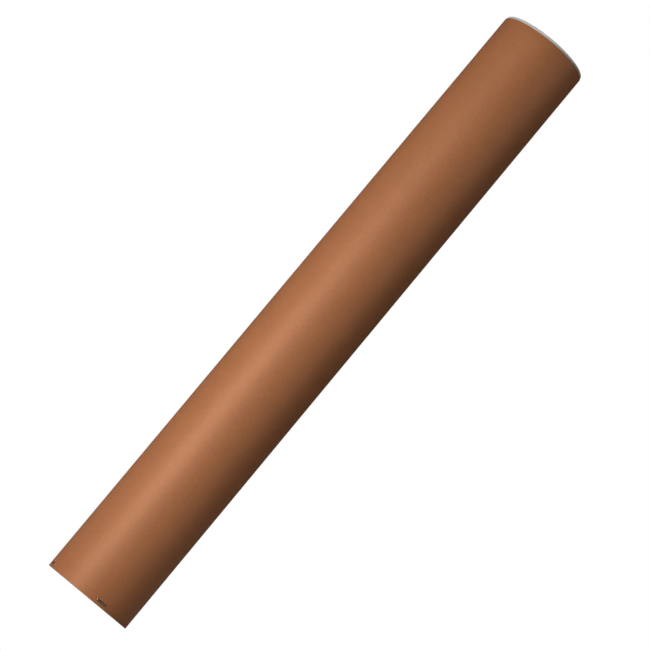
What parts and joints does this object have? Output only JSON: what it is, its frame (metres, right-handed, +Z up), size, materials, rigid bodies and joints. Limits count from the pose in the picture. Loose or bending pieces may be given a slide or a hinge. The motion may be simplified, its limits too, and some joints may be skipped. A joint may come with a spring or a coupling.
{
  "type": "cardboard mailing tube",
  "caption": "Long round cardboard mailing tube with a push-in plastic cap at one end and a stapled plastic plug at the other.",
  "frame": {"origin": "centre of the tube's lower rim, the stapled end, on the surface that the tube stands on", "axes": "+Z up along the tube's axis, from the stapled end to the capped end; +X and +Y have no front, and the first staple is 17.5 degrees from +X towards +Y"},
  "size_m": [0.084, 0.0838, 0.6176],
  "materials": {
    "kraft_board": "matte",
    "white_plastic": "satin",
    "staple_wire": "satin"
  },
  "bodies": {
    "tube_body": {"tube": "kraft_board", "bottom_plug": "white_plastic", "staple_1": "staple_wire", "staple_2": "staple_wire", "staple_3": "staple_wire", "staple_4": "staple_wire"},
    "cap_body": {"end_cap": "white_plastic"}
  },
  "joints": [
    {"name": "cap_lift", "type": "slide", "parent": "tube_body", "child": "cap_body", "axis": [0, 0, 1], "range_m": [0, 0.1]}
  ]
}
